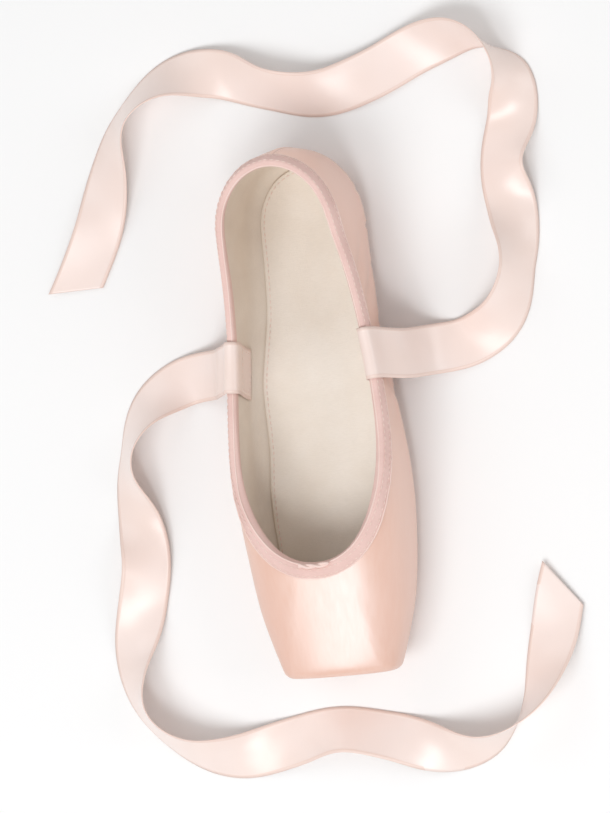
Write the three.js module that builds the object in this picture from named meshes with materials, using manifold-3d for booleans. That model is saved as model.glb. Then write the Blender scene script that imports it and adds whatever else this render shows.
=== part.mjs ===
// A satin pointe shoe standing empty on its sole, with its two ankle ribbons laid down beside it.
// Units are millimetres, +Z is up, the toe points to -Y.
// The origin is on the floor under the middle of the shoe.
// The shoe is made on a straight last, so it is the same on both sides and fits either foot.
import * as THREE from "three";
import Module from "manifold-3d";

// Driving sizes of the last
const LENGTH = 230; // platform to the back of the heel
const BALL_WIDTH = 75.6;
const PLATFORM_WIDTH = 50.4;
const PLATFORM_TOP = 35; // height of the platform's upper edge
const PLATFORM_ROUND = 3.2; // radius of the edge all round the platform
const THROAT_HEIGHT = 45.5;
const HEEL_WIDTH = 57;
const HEEL_ROUND = 34; // length of the rounded back of the heel
const HEEL_LEAN = 2; // how far the back's middle line comes forward from its bulge to the rim
const BULGE_HEIGHT = 22; // height of the heel's bulge
const LEAN_RISE = 35; // height above the bulge at which the whole lean is reached

// Sole line: flat under the ball and the heel, arched between them, sprung at the toe
const GAP = 0.3; // between pieces that touch
const FACET_SLACK = 0.15; // extra room between two curved faces made of flat facets
const SOLE_THICKNESS = 2.6;
const TOE_SPRING = 4.5;
const SPRING_END = 46; // distance from the platform where the spring meets the floor
const ARCH_RISE = 5.5;
const ARCH_FRONT = 98;
const ARCH_BACK = 170;

// Walls and trims
const BOX_WALL = 2.6; // pasted layers of the toe box
const BOX_WALL_END = 40; // measure around the toe where the wall starts to thin
const QUARTER_WALL = 1.6; // satin on canvas
const SEAM_STEP = 0.45; // the vamp laps over the quarters at the side seams
const SEAM_AT = 133; // distance of the side seam from the platform, half way up the wall
const SEAM_SLANT = 5; // how far the seam leans to the heel on the way to the rim
const SLANT_FROM = -0.5; // angles above the core line between which the slant comes in
const SLANT_TO = 0.6;
const SEAM_HALF = 0.4; // half-width of the slope where the vamp's lap ends
const BACK_SEAM_RIDGE = 0.5;
const BACK_SEAM_HALF = 1.3;
const BACK_SEAM_FLAT = 0.4; // share of its half-width that is at full height
const RELIEF_FROM = -0.7; // upward tilts of the surface between which the seams' relief comes in
const RELIEF_FULL = -0.2;
const BINDING_OUTSIDE = 5.4; // width of the binding tape seen outside the rim
const BINDING_INSIDE = 5;
const BINDING_THICKNESS = 0.8;
const BINDING_ROLL = 0.1; // how far its flat sides bow out
const INSOLE_THICKNESS = 1.6;
const INSOLE_CURL = 3.2; // height that the insole's edge climbs the wall
const INSOLE_MARGIN = 1; // between the insole's edge and the wall
const SOLE_EDGE_BEVEL = 0.7;

// The core line runs along the middle of the foot, and rays from it give the shape of every piece
const CORE_HEIGHT = 20;
const CORE_FRONT = 74; // distances of the core's ends from the platform
const CORE_BACK = 197;
const TOE_TURN = 52; // measure around the toe, from its centre to the start of the side
const HEEL_TURN = 42;
const SIDE_RUN = CORE_BACK - CORE_FRONT;
const HALF_ROUND = TOE_TURN + SIDE_RUN + HEEL_TURN;
const SEAM_AROUND = TOE_TURN + SEAM_AT - CORE_FRONT;

// Sections of the last. at: distance from the platform, half: half-width at the widest line, widest: its
// height, crown: height of the top, low and high: squareness of the corners below and above that line.
const LAST_SECTIONS = [
  { at: 0, half: PLATFORM_WIDTH / 2, widest: 20, crown: PLATFORM_TOP, low: 3.0, high: 2.7 },
  { at: 11, half: 28.6, widest: 20, crown: 37.4, low: 3.2, high: 2.6 },
  { at: 29, half: 33.5, widest: 19, crown: 41.2, low: 3.6, high: 2.5 },
  { at: 50, half: 36.2, widest: 18.5, crown: THROAT_HEIGHT, low: 4.0, high: 2.5 },
  { at: 80, half: BALL_WIDTH / 2, widest: 18, crown: 55, low: 4.0, high: 2.6 },
  { at: 112, half: 35.4, widest: 19, crown: 64, low: 3.6, high: 2.6 },
  { at: 145, half: 32, widest: 21, crown: 69, low: 3.2, high: 2.5 },
  { at: 175, half: 29.8, widest: BULGE_HEIGHT, crown: 73, low: 4, high: 2.5 },
  { at: LENGTH, half: HEEL_WIDTH / 2, widest: BULGE_HEIGHT, crown: 77, low: 4.6, high: 2.5 },
];

// Rim of the collar. around: measure from the toe centre, out: distance from the core line, up: height.
const COLLAR_RIM = [
  { around: 0, out: 25, up: 45.2 },
  { around: 22, out: 25.5, up: 45.4 },
  { around: 42, out: 27.5, up: 45.6 },
  { around: TOE_TURN, out: 30, up: 45.2 },
  { around: TOE_TURN + 10, out: 33.4, up: 43.8 },
  { around: TOE_TURN + 26, out: 36, up: 41 },
  { around: TOE_TURN + 44, out: 35, up: 39 },
  { around: TOE_TURN + 66, out: 32, up: 38.2 },
  { around: TOE_TURN + 98, out: 28.5, up: 43.5 },
  { around: TOE_TURN + SIDE_RUN, out: 25, up: 52 },
  { around: HALF_ROUND, out: 26.5, up: 57 },
];

// Half-widths of the outsole by distance from the platform: full under the ball, slim at the waist.
const SOLE_FRONT = 21;
const SOLE_BACK = 220;
const SOLE_TIP_ROUND = 19; // length of the rounded front
const SOLE_HEEL_ROUND = 20;
const SOLE_MARGIN = 5.5; // how far the outsole laps over the edge of the upper
const OUTSOLE_WIDTHS = [
  { at: SOLE_FRONT, half: 21.6 },
  { at: 48, half: 22.6 },
  { at: 68, half: 20.4 },
  { at: 92, half: 13.4 },
  { at: 118, half: 10.6 },
  { at: 148, half: 12.4 },
  { at: 178, half: 16.6 },
  { at: SOLE_BACK, half: 18 },
];

// Ribbons: satin tape sewn inside the rim at the side seams
const RIBBON_WIDTH = 22;
const RIBBON_THICKNESS = 0.4;
const RIBBON_LENGTH = 500;
const RIBBON_SEWN = 24; // length sewn to the inside of the wall
const RIBBON_END_SLANT = 14; // how far one corner of the cut end runs ahead of the other
const RIBBON_HOVER = 0.1; // share of the half-width that a flat stretch lies above the floor
const RIBBON_RUN_STEPS = 62; // steps of the stretch that hangs and lies free
const RIBBON_ACROSS = [-0.5, 0, 0.5]; // points across it, as shares of its width

// Middle of each ribbon after it leaves the rim, as it falls and lies in loose bends round the shoe.
// up: height of its lower edge, lean: degrees that it stands up from the floor, to the left of the way
// it runs. Past 90 degrees it has turned over.
const RIGHT_RIBBON_ROUTE = [
  { x: 42, y: 21, up: 24, lean: 0 },
  { x: 51, y: 21.5, up: 5, lean: 0 },
  { x: 66, y: 23, up: 0, lean: 0 },
  { x: 84, y: 33, up: 0, lean: 34 },
  { x: 94, y: 54, up: 0, lean: 62 },
  { x: 93, y: 77, up: 0, lean: 22 },
  { x: 90, y: 99, up: 2, lean: -22 },
  { x: 97, y: 120, up: 0, lean: 10 },
  { x: 98, y: 141, up: 0, lean: 66 },
  { x: 82, y: 155, up: 0, lean: 118 },
  { x: 59, y: 153, up: 0, lean: 164 },
  { x: 36, y: 144, up: 1, lean: 172 },
  { x: 11, y: 138, up: 0, lean: 156 },
  { x: -13, y: 143, up: 0, lean: 142 },
  { x: -36, y: 153, up: 2, lean: 176 },
  { x: -60, y: 153, up: 0, lean: 222 },
  { x: -80, y: 139, up: 0, lean: 240 },
  { x: -90, y: 116, up: 0, lean: 204 },
  { x: -98, y: 92, up: 1, lean: 172 },
  { x: -110, y: 70, up: 0, lean: 176 },
  { x: -124, y: 48, up: 0, lean: 180 },
];
const LEFT_RIBBON_ROUTE = [
  { x: -42, y: 21, up: 24, lean: 0 },
  { x: -51, y: 20.5, up: 5, lean: 0 },
  { x: -66, y: 19, up: 0, lean: 0 },
  { x: -85, y: 8, up: 0, lean: 36 },
  { x: -95, y: -13, up: 0, lean: 60 },
  { x: -94, y: -36, up: 0, lean: 20 },
  { x: -91, y: -58, up: 2, lean: -24 },
  { x: -97, y: -81, up: 1, lean: -12 },
  { x: -103, y: -104, up: 0, lean: 30 },
  { x: -99, y: -127, up: 0, lean: 62 },
  { x: -82, y: -143, up: 0, lean: 58 },
  { x: -59, y: -149, up: 0, lean: 24 },
  { x: -35, y: -145, up: 1, lean: -4 },
  { x: -10, y: -140, up: 0, lean: -30 },
  { x: 14, y: -145, up: 0, lean: -24 },
  { x: 38, y: -153, up: 1, lean: 20 },
  { x: 62, y: -150, up: 0, lean: 72 },
  { x: 80, y: -134, up: 0, lean: 122 },
  { x: 89, y: -112, up: 0, lean: 166 },
  { x: 96, y: -88, up: 1, lean: 184 },
  { x: 106, y: -62, up: 0, lean: 180 },
];

// Drawstring: its two ends come out at the throat and are twisted together along the edge of the binding
const STRING_RADIUS = 0.7;
const STRING_SIDES = 6;
const STRING_STEPS = 12;
const TWIST_HALF = 7; // half-length of the twist along the rim
const TWIST_TURNS = 1.25;
const TWIST_RADIUS = 0.62; // distance of each end from the middle of the twist
const TWIST_SEAT = 0.45; // height of the twist's middle over a cord that touches the binding's face

// Fineness of the faceted skin
const RING_HALF = 40; // columns on each side, from the toe centre to the heel centre
const WALL_ROWS = 17;
const FINE_STEPS = 120; // steps along a ray fan that a row of points is spread over
const TURN_WEIGHT = 14; // millimetres that one radian of bend counts for when points are spread up the wall
const OUTLINE_TURN_WEIGHT = 30; // and when columns are spread round the outline
const OUTLINE_STEPS = 600;
const SEAM_CLEAR = 1.6; // room round a seam's own columns in which no other column is set
const BACK_CLEAR = 2.6;
const FAR = 130; // longer than any ray inside the shoe
const HALVINGS = 44; // steps in which a ray's end is closed in on
const SLOPE_STEP = 0.02;
const WALL_FAN = 1.2; // angles of the ray fans below and above the rim
const BEYOND_FAN = 0.3;
const SAME_PLACE = 1e-6;

const wasm = await Module();
wasm.setup();

const UPWARDS = new THREE.Vector3(0, 0, 1);
const lerp = THREE.MathUtils.lerp;
const smoothstep = THREE.MathUtils.smoothstep;

// A smooth curve through the rows of a table, as a function of the named key
function tableCurve(rows, key) {
  const columns = Object.keys(rows[0]).filter((name) => name !== key);
  const values = rows.flatMap((row) => columns.map((name) => row[name]));
  const curve = new THREE.CubicInterpolant(rows.map((row) => row[key]), values, columns.length);
  const first = rows[0][key];
  const last = rows[rows.length - 1][key];
  return (place) => {
    const result = curve.evaluate(THREE.MathUtils.clamp(place, first, last));
    return Object.fromEntries(columns.map((name, i) => [name, result[i]]));
  };
}

const lastSection = tableCurve(LAST_SECTIONS, "at");
const collarRim = tableCurve(COLLAR_RIM, "around");
const outsoleWidth = tableCurve(OUTSOLE_WIDTHS, "at");

// Depth that a rounded edge of the given radius takes away at a distance from its end
function roundedEdge(distance, radius) {
  if (distance >= radius) return 0;
  return radius - Math.sqrt(Math.max(0, radius ** 2 - (radius - distance) ** 2));
}

// Height of the sole's underside above the floor
function soleLine(at) {
  const spring = TOE_SPRING * Math.max(0, 1 - at / SPRING_END) ** 2;
  const along = THREE.MathUtils.clamp((at - ARCH_FRONT) / (ARCH_BACK - ARCH_FRONT), 0, 1);
  return spring + ARCH_RISE * Math.sin(Math.PI * along) ** 2;
}

// How far outside the last a point is, as a share of its section: 0 on the surface, negative inside
function lastValue(x, y, z) {
  const backness = smoothstep(y, 0, LENGTH / 2);
  const at = y + LENGTH / 2 + HEEL_LEAN * backness * ((z - BULGE_HEIGHT) / LEAN_RISE) ** 2;
  if (at < 0) return 1;
  const section = lastSection(at);
  const edge = roundedEdge(at, PLATFORM_ROUND);
  const heelShare = Math.max(0, (at - (LENGTH - HEEL_ROUND)) / HEEL_ROUND);
  const floor = soleLine(at) + SOLE_THICKNESS + GAP + FACET_SLACK + edge;
  const rise = z - section.widest;
  const reach = rise < 0 ? section.widest - floor : section.crown - edge - section.widest;
  const power = rise < 0 ? section.low : section.high;
  const across = Math.hypot(x / (section.half - edge), heelShare);
  return (across ** power + Math.abs(rise / reach) ** power) ** (1 / power) - 1;
}

// Outward direction of the last's surface at a point on it
function lastNormal(point) {
  if (point.y + LENGTH / 2 < SLOPE_STEP) return new THREE.Vector3(0, -1, 0);
  const slope = ["x", "y", "z"].map((axis) => {
    const ahead = point.clone();
    const behind = point.clone();
    ahead[axis] += SLOPE_STEP;
    behind[axis] -= SLOPE_STEP;
    return lastValue(ahead.x, ahead.y, ahead.z) - lastValue(behind.x, behind.y, behind.z);
  });
  return new THREE.Vector3(...slope).normalize();
}

// Longest distance along a ray for which the test still holds
function reachAlong(holds) {
  let near = 0;
  let far = FAR;
  for (let i = 0; i < HALVINGS; i++) {
    const middle = (near + far) / 2;
    if (holds(middle)) near = middle;
    else far = middle;
  }
  return near;
}

// Start and flat direction of the ray fan at a measure around the right side of the shoe
function coreRay(around) {
  let turn = 0; // 0 points to the side, -90 to the toe, +90 to the heel
  let at = CORE_FRONT + around - TOE_TURN;
  if (around < TOE_TURN) {
    turn = (-Math.PI / 2) * (1 - around / TOE_TURN);
    at = CORE_FRONT;
  }
  if (around > TOE_TURN + SIDE_RUN) {
    turn = (Math.PI / 2) * ((around - TOE_TURN - SIDE_RUN) / HEEL_TURN);
    at = CORE_BACK;
  }
  return {
    start: new THREE.Vector3(0, at - LENGTH / 2, CORE_HEIGHT),
    flat: new THREE.Vector3(Math.cos(turn), Math.sin(turn), 0),
  };
}

// Point of the last at a measure around it and an angle above the core line, leaning with the side seam
function lastPoint(around, angle) {
  const seamNear = Math.sin(Math.PI * THREE.MathUtils.clamp((around - TOE_TURN) / SIDE_RUN, 0, 1)) ** 2;
  const risen = smoothstep(angle, SLANT_FROM, SLANT_TO);
  const { start, flat } = coreRay(around + SEAM_SLANT * seamNear * risen);
  const ray = flat.multiplyScalar(Math.cos(angle)).setZ(Math.sin(angle));
  const inside = (r) => lastValue(start.x + ray.x * r, start.y + ray.y * r, start.z + ray.z * r) < 0;
  return start.addScaledVector(ray, reachAlong(inside));
}

function rimAngle(around) {
  const rim = collarRim(around);
  return Math.atan2(rim.up - CORE_HEIGHT, rim.out);
}

// Half-width of the outsole, rounded at both ends, less a margin
function soleHalf(at, margin) {
  const front = Math.max(0, 1 - (at - SOLE_FRONT - margin) / SOLE_TIP_ROUND);
  const back = Math.max(0, 1 - (SOLE_BACK - margin - at) / SOLE_HEEL_ROUND);
  if (front > 1 || back > 1) return -1;
  return (outsoleWidth(at).half - margin) * Math.sqrt((1 - front ** 2) * (1 - back ** 2));
}

// Flat distance from the core line to the edge of the outsole, less a margin
function soleReach(around, margin) {
  const { start, flat } = coreRay(around);
  return reachAlong((r) => Math.abs(flat.x * r) <= soleHalf(start.y + flat.y * r + LENGTH / 2, margin));
}

// Point of the last's underside a flat distance from the core line
function undersidePoint(around, distance) {
  const { start, flat } = coreRay(around);
  const place = start.addScaledVector(flat, distance);
  const inside = (drop) => lastValue(place.x, place.y, CORE_HEIGHT - drop) < 0;
  return place.setZ(CORE_HEIGHT - reachAlong(inside));
}

// Lap of the vamp and ridge of the back seam, on top of the last's surface, dying away under the foot
function seamRelief(around, normal) {
  const lap = SEAM_STEP * (1 - smoothstep(around, SEAM_AROUND - SEAM_HALF, SEAM_AROUND + SEAM_HALF));
  const fromBack = HALF_ROUND - around;
  const flatHalf = BACK_SEAM_HALF * BACK_SEAM_FLAT;
  const ridge = BACK_SEAM_RIDGE * (1 - smoothstep(fromBack, flatHalf, BACK_SEAM_HALF));
  return (lap + ridge) * smoothstep(normal.z, RELIEF_FROM, RELIEF_FULL);
}

function wallThickness(around) {
  return lerp(BOX_WALL, QUARTER_WALL, smoothstep(around, BOX_WALL_END, SEAM_AROUND));
}

// A line of surface points at one measure around, from one angle to another, with length and bend counted
function fineLine(around, fromAngle, toAngle) {
  const points = [];
  let length = 0;
  let weight = 0;
  for (let i = 0; i <= FINE_STEPS; i++) {
    const place = lastPoint(around, lerp(fromAngle, toAngle, i / FINE_STEPS));
    const normal = lastNormal(place);
    if (i > 0) {
      const previous = points[i - 1];
      const step = place.distanceTo(previous.place);
      length += step;
      weight += step + TURN_WEIGHT * normal.angleTo(previous.normal);
    }
    points.push({ place, normal, length, weight });
  }
  return points;
}

// The point of a fine line where a running value reaches a target
function pointAt(line, key, target) {
  let i = 1;
  while (i < line.length - 1 && line[i][key] < target) i++;
  const share = (target - line[i - 1][key]) / (line[i][key] - line[i - 1][key]);
  return {
    place: line[i - 1].place.clone().lerp(line[i].place, share),
    normal: line[i - 1].normal.clone().lerp(line[i].normal, share).normalize(),
  };
}

function offsetPoint({ place, normal }, distance) {
  return place.clone().addScaledVector(normal, distance);
}

// Columns of the skin from toe centre to heel centre, closer where the outline bends and at the seams
function columnMeasures() {
  const outline = [];
  let weight = 0;
  for (let i = 0; i <= OUTLINE_STEPS; i++) {
    const around = (HALF_ROUND * i) / OUTLINE_STEPS;
    const place = lastPoint(around, 0);
    const normal = lastNormal(place);
    if (i > 0) {
      const previous = outline[i - 1];
      weight += place.distanceTo(previous.place) + OUTLINE_TURN_WEIGHT * normal.angleTo(previous.normal);
    }
    outline.push({ around, place, normal, weight });
  }
  const seamColumns = [SEAM_AROUND - SEAM_HALF, SEAM_AROUND + SEAM_HALF];
  const backColumns = [HALF_ROUND - BACK_SEAM_HALF, HALF_ROUND - BACK_SEAM_HALF * BACK_SEAM_FLAT];
  const evenSteps = RING_HALF - seamColumns.length - backColumns.length;
  const spread = [];
  for (let i = 0; i <= evenSteps; i++) {
    const target = (weight * i) / evenSteps;
    spread.push(outline.find((row) => row.weight >= target - SAME_PLACE).around);
  }
  const farFromSeam = (around) => Math.abs(around - SEAM_AROUND) > SEAM_CLEAR;
  const farFromBack = (around) => around === HALF_ROUND || around < HALF_ROUND - BACK_CLEAR;
  const clear = spread.filter((around) => farFromSeam(around) && farFromBack(around));
  return [...clear, ...seamColumns, ...backColumns].sort((a, b) => a - b);
}

const COLUMNS = columnMeasures();

// A closed surface from rings of points that follow each other round the shoe. The facets on the left side
// are cut the other way, so that both sides are alike.
function ringedSolid(rings) {
  const count = rings[0].length;
  const positions = rings.flat().flatMap((p) => [p.x, p.y, p.z]);
  const index = [];
  rings.forEach((_, row) => {
    const next = (row + 1) % rings.length;
    for (let i = 0; i < count; i++) {
      const j = (i + 1) % count;
      const [a, b, c, d] = [row * count + i, row * count + j, next * count + j, next * count + i];
      if (row < rings.length / 2) index.push(a, d, b, d, c, b);
      else index.push(a, c, b, a, d, c);
    }
  });
  return indexedGeometry(positions, index);
}

function indexedGeometry(positions, index) {
  const geometry = new THREE.BufferGeometry();
  geometry.setAttribute("position", new THREE.Float32BufferAttribute(positions, 3));
  geometry.setIndex(index);
  geometry.computeVertexNormals();
  return geometry;
}

// Both sides of the shoe from a list of columns of points on the right side: toe centre, right, heel, left
function mirroredColumns(rightColumns) {
  const left = rightColumns.slice(1, -1).reverse();
  const mirrored = left.map((column) => column.map((p) => new THREE.Vector3(-p.x, p.y, p.z)));
  return [...rightColumns, ...mirrored];
}

// The hollow upper: outer and inner skins between the sole opening and the collar rim
function upperGeometry() {
  const columns = COLUMNS.map((around) => {
    const opening = soleReach(around, SOLE_MARGIN);
    const openingAngle = Math.atan2(undersidePoint(around, opening).z - CORE_HEIGHT, opening);
    const line = fineLine(around, openingAngle, rimAngle(around));
    const total = line[line.length - 1].weight;
    const stops = Array.from({ length: WALL_ROWS + 1 }, (_, i) => (total * i) / WALL_ROWS);
    const rows = stops.map((stop) => pointAt(line, "weight", stop));
    const outer = rows.map((row) => offsetPoint(row, seamRelief(around, row.normal)));
    const inner = rows.map((row) => offsetPoint(row, -wallThickness(around)));
    return [...outer, ...inner.reverse()];
  });
  return ringedSolid(mirroredColumns(columns));
}

// Gives points near the rim by their distance past it, negative down the wall, and height off the last
function rimSurface(around) {
  const rim = rimAngle(around);
  const wall = fineLine(around, rim - WALL_FAN, rim);
  const beyond = fineLine(around, rim, rim + BEYOND_FAN);
  const wallLength = wall[wall.length - 1].length;
  return (past, off) => {
    const point = past < 0 ? pointAt(wall, "length", wallLength + past) : pointAt(beyond, "length", past);
    return offsetPoint(point, off);
  };
}

// Heights off the last of the tape's four faces and of the middle of its fold
function bindingFaces(around) {
  const face = seamRelief(around, UPWARDS) + GAP + FACET_SLACK / 2;
  const skin = face + BINDING_THICKNESS;
  const lining = -wallThickness(around) - GAP;
  const inside = lining - BINDING_THICKNESS;
  return { face, skin, lining, inside, middle: (skin + inside) / 2 };
}

// The folded tape over the rim. Its section is walked from the outer edge over the rim to the inner edge
// and back along the side that faces the wall.
function bindingGeometry() {
  const crest = GAP + BINDING_THICKNESS;
  const shoulder = GAP + BINDING_THICKNESS * 0.8;
  const columns = COLUMNS.map((around) => {
    const place = rimSurface(around);
    const { face, skin, lining, inside, middle } = bindingFaces(around);
    const section = [
      { past: -BINDING_OUTSIDE, off: face },
      { past: -BINDING_OUTSIDE, off: skin - BINDING_ROLL * 2 },
      { past: -BINDING_OUTSIDE * 0.6, off: skin + BINDING_ROLL },
      { past: -GAP, off: skin },
      { past: shoulder, off: lerp(skin, middle, 0.35) },
      { past: crest, off: middle },
      { past: shoulder, off: lerp(inside, middle, 0.35) },
      { past: -GAP, off: inside },
      { past: -BINDING_INSIDE, off: inside + BINDING_ROLL },
      { past: -BINDING_INSIDE, off: lining },
      { past: GAP, off: lining },
      { past: GAP, off: face },
    ];
    return section.map(({ past, off }) => place(past, off));
  });
  return ringedSolid(mirroredColumns(columns));
}

// A plate under or inside the foot: rows of points from the core line out to an edge, above and below.
// surface(around, share) gives the upper and the lower point at a share of the way to the edge.
function plateGeometry(columns, shares, surface) {
  const right = columns.map((around) => shares.map((share) => surface(around, share)));
  const positions = [];
  const index = [];
  const add = (p, side) => positions.push(p.x * side, p.y, p.z) / 3 - 1;
  const spineIds = [];
  right.forEach(([middle], i) => {
    const repeated = i > 0 && right[i - 1][0].upper.distanceTo(middle.upper) < SAME_PLACE;
    const added = () => ({ upper: add(middle.upper, 1), lower: add(middle.lower, 1) });
    spineIds.push(repeated ? spineIds[i - 1] : added());
  });
  const sideIds = [1, -1].map((side) =>
    right.map((rows, i) => {
      const onMiddle = i === 0 || i === right.length - 1;
      return rows.map((row, k) => {
        if (k === 0) return spineIds[i];
        if (side < 0 && onMiddle) return null;
        return { upper: add(row.upper, side), lower: add(row.lower, side) };
      });
    }),
  );
  [0, right.length - 1].forEach((i) => {
    sideIds[1][i] = sideIds[0][i];
  });
  const face = (side, a, b, c) => {
    if (a === b || b === c || a === c) return;
    index.push(...(side > 0 ? [a, b, c] : [a, c, b]));
  };
  const quad = (side, a, b, c, d) => {
    face(side, a, b, c);
    face(side, a, c, d);
  };
  [1, -1].forEach((side, which) => {
    for (let i = 0; i + 1 < right.length; i++) {
      const here = sideIds[which][i];
      const next = sideIds[which][i + 1];
      for (let k = 0; k + 1 < shares.length; k++) {
        quad(side, here[k].upper, here[k + 1].upper, next[k + 1].upper, next[k].upper);
        quad(side, here[k].lower, next[k].lower, next[k + 1].lower, here[k + 1].lower);
      }
      const edge = shares.length - 1;
      quad(side, here[edge].upper, here[edge].lower, next[edge].lower, next[edge].upper);
    }
  });
  return indexedGeometry(positions, index);
}

// The outsole: its top follows the upper's underside, its bottom the sole line, bevelled at the edge
function outsoleGeometry() {
  const shares = [0, 0.6, 0.96, 1];
  return plateGeometry(COLUMNS, shares, (around, share) => {
    const top = undersidePoint(around, soleReach(around, 0) * share);
    const bevel = share === 1 ? SOLE_EDGE_BEVEL : 0;
    return {
      upper: top.clone().setZ(top.z - GAP - FACET_SLACK),
      lower: top.clone().setZ(soleLine(top.y + LENGTH / 2) + bevel),
    };
  });
}

// The insole: a sheet that lies on the turned-in edge of the upper and curves up a little at the sides
function insoleGeometry() {
  const shares = [0, 0.7, 1];
  const edgeAngle = (around) => {
    const line = fineLine(around, -Math.PI / 2, 0);
    const lowest = line[0].place.z;
    const row = line.findIndex((p) => p.place.z > lowest + INSOLE_CURL);
    return lerp(-Math.PI / 2, 0, row / FINE_STEPS);
  };
  return plateGeometry(COLUMNS, shares, (around, share) => {
    const far = lastPoint(around, edgeAngle(around));
    const { start } = coreRay(around);
    const edge = Math.hypot(far.x - start.x, far.y - start.y) - wallThickness(around) - INSOLE_MARGIN;
    const place = undersidePoint(around, edge * share);
    const normal = lastNormal(place);
    const under = wallThickness(around) + GAP + FACET_SLACK;
    return {
      lower: place.clone().addScaledVector(normal, -under),
      upper: place.clone().addScaledVector(normal, -under - INSOLE_THICKNESS),
    };
  });
}

// One ribbon. On the shoe it follows the wall over the binding, then it falls to the floor and lies there.
function ribbonGeometry(side, route) {
  const onWall = ribbonOnWall(side);
  const free = RIBBON_LENGTH - middleLength(onWall);
  return sheetGeometry([...onWall, ...ribbonOnFloor(side, route, onWall[onWall.length - 1], free)], side);
}

// Rows across the ribbon from its sewn end inside the wall, up over the rim and a little way down outside
function ribbonOnWall(side) {
  const over = 2 * GAP + FACET_SLACK + RIBBON_THICKNESS / 2;
  const offs = (around) => {
    const { skin, lining, inside } = bindingFaces(around);
    return { sewn: lining - FACET_SLACK - RIBBON_THICKNESS / 2, inner: inside - over, outer: skin + over };
  };
  // past: distance past the rim, inner and outer: how far it has come to the tape's two sides, away: hang
  const stops = [
    { past: -RIBBON_SEWN, inner: 0, outer: 0, away: 0 },
    { past: -15, inner: 0, outer: 0, away: 0 },
    { past: -9, inner: 0.6, outer: 0, away: 0 },
    { past: -5.6, inner: 1, outer: 0, away: 0 },
    { past: -2.5, inner: 1, outer: 0, away: 0 },
    { past: 0.6, inner: 1, outer: 0, away: 0 },
    { past: 2, inner: 1, outer: 0.25, away: 0 },
    { past: 2.5, inner: 1, outer: 0.6, away: 0 },
    { past: 1.6, inner: 1, outer: 1, away: 0 },
    { past: -1.5, inner: 1, outer: 1, away: 0.5 },
    { past: -7, inner: 1, outer: 1, away: 1.6 },
  ];
  const columns = RIBBON_ACROSS.map((share) => {
    const around = SEAM_AROUND + share * RIBBON_WIDTH;
    const place = rimSurface(around);
    const { sewn, inner, outer } = offs(around);
    return stops.map((stop) => {
      const off = lerp(lerp(sewn, inner, stop.inner), outer, stop.outer) + stop.away;
      const point = place(stop.past, off);
      return point.setX(point.x * side);
    });
  });
  return stops.map((_, i) => columns.map((column) => column[i]));
}

// Height of a ribbon's middle above its lower edge when it leans
function leanLift(lean) {
  return (RIBBON_WIDTH / 2) * Math.hypot(Math.sin(THREE.MathUtils.degToRad(lean)), RIBBON_HOVER);
}

// Rows across the ribbon along its route, as long as the free length, cut on a slant at the end
function ribbonOnFloor(side, route, lastRow, free) {
  const middles = [lastRow[1], ...route.map((p) => new THREE.Vector3(p.x, p.y, p.up + leanLift(p.lean)))];
  const curve = new THREE.CatmullRomCurve3(middles, false, "centripetal");
  const leans = new THREE.CubicInterpolant(
    middles.map((_, i) => i / route.length),
    [0, ...route.map((p) => p.lean)],
    1,
  );
  const endShare = free / curve.getLength();
  const wallAcross = lastRow[2].clone().sub(lastRow[0]).normalize().multiplyScalar(side);
  const rows = [];
  for (let i = 1; i <= RIBBON_RUN_STEPS; i++) {
    const along = (endShare * i) / RIBBON_RUN_STEPS;
    const place = curve.getPointAt(along);
    const run = curve.getTangentAt(along);
    const level = new THREE.Vector3(-run.y, run.x, 0).normalize();
    const lean = THREE.MathUtils.degToRad(leans.evaluate(curve.getUtoTmapping(along))[0]);
    const rise = new THREE.Vector3().crossVectors(run, level).normalize();
    const across = level.multiplyScalar(Math.cos(lean)).addScaledVector(rise, Math.sin(lean));
    across.lerp(wallAcross, 1 - smoothstep(i, 0, 6)).normalize();
    const slant = RIBBON_END_SLANT * smoothstep(i, RIBBON_RUN_STEPS - 4, RIBBON_RUN_STEPS);
    const row = RIBBON_ACROSS.map((share) => {
      const point = place.clone().addScaledVector(across, share * RIBBON_WIDTH * side);
      return point.addScaledVector(run, share * slant);
    });
    const sunk = Math.min(...row.map((p) => p.z)) - RIBBON_THICKNESS;
    row.forEach((p) => p.setZ(p.z - Math.min(0, sunk)));
    rows.push(row);
  }
  return rows;
}

function middleLength(rows) {
  return rows.slice(1).reduce((sum, row, i) => sum + row[1].distanceTo(rows[i][1]), 0);
}

// A thin closed strip from rows of points across it
function sheetGeometry(rows, side) {
  const rings = rows.map((row, i) => {
    const along = rows[Math.min(i + 1, rows.length - 1)][1].clone().sub(rows[Math.max(i - 1, 0)][1]);
    const across = row[row.length - 1].clone().sub(row[0]);
    const normal = along.cross(across).normalize().multiplyScalar((side * RIBBON_THICKNESS) / 2);
    const upper = row.map((p) => p.clone().add(normal));
    const lower = row.map((p) => p.clone().sub(normal)).reverse();
    return [...upper, ...lower];
  });
  return tubeGeometry(rings);
}

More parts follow.
